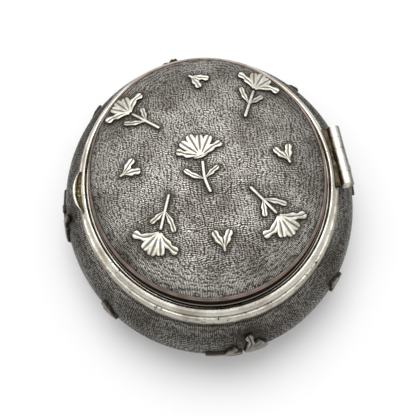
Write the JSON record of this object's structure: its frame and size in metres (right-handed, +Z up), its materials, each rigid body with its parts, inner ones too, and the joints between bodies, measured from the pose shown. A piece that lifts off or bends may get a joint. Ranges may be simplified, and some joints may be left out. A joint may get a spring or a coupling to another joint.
{
  "type": "pill box",
  "caption": "Oval silver pill box with cushion-shaped sides, a domed hinged lid, stippled ground, applied flower sprigs and a crescent thumb piece.",
  "frame": {"origin": "middle of the underside, on the surface that the box stands on", "axes": "+Z up, X along the length of the oval and the hinge pin, +Y towards the hinge, -Y towards the thumb piece"},
  "size_m": [0.05, 0.0448, 0.0174],
  "materials": {
    "textured_silver": "oxidised, finely textured",
    "flower_silver": "polished relief",
    "moulding_silver": "polished, lightly pitted",
    "edge_silver": "satin",
    "plain_silver": "satin, worn",
    "gilt": "satin gilt",
    "solder_brown": "oxidised",
    "hinge_silver": "polished",
    "thumb_gilt": "worn gilt"
  },
  "bodies": {
    "base": {"base_plate": "plain_silver", "base_shell": "textured_silver", "base_rim": "moulding_silver", "inner_bezel": "gilt", "base_hinge_leaf": "solder_brown", "base_knuckles": "hinge_silver", "hinge_pin": "hinge_silver", "side_bloom_1": "flower_silver", "side_bloom_2": "flower_silver", "side_bloom_3": "flower_silver", "side_bloom_4": "flower_silver", "side_stem_1": "flower_silver", "side_stem_2": "flower_silver", "side_stem_3": "flower_silver", "side_stem_4": "flower_silver", "side_leaves_1": "flower_silver", "side_leaves_2": "flower_silver", "side_leaves_3": "flower_silver", "side_leaves_4": "flower_silver"},
    "lid": {"lid_shell": "textured_silver", "lid_edge": "edge_silver", "lid_bead": "moulding_silver", "lid_hinge_leaf": "solder_brown", "lid_knuckles": "hinge_silver", "thumb_piece": "thumb_gilt", "centre_bloom": "flower_silver", "centre_calyx": "flower_silver", "centre_stem": "flower_silver", "lid_bloom_1": "flower_silver", "lid_bloom_2": "flower_silver", "lid_bloom_3": "flower_silver", "lid_bloom_4": "flower_silver", "lid_stem_1": "flower_silver", "lid_stem_2": "flower_silver", "lid_stem_3": "flower_silver", "lid_stem_4": "flower_silver", "lid_leaves_1": "flower_silver", "lid_leaves_2": "flower_silver", "lid_leaves_3": "flower_silver", "lid_leaves_4": "flower_silver"}
  },
  "joints": [
    {"name": "lid_hinge", "type": "hinge", "parent": "base", "child": "lid", "pos_m": [0, 0.01968, 0.0124], "axis": [-1, 0, 0], "range_deg": [0, 100]}
  ]
}
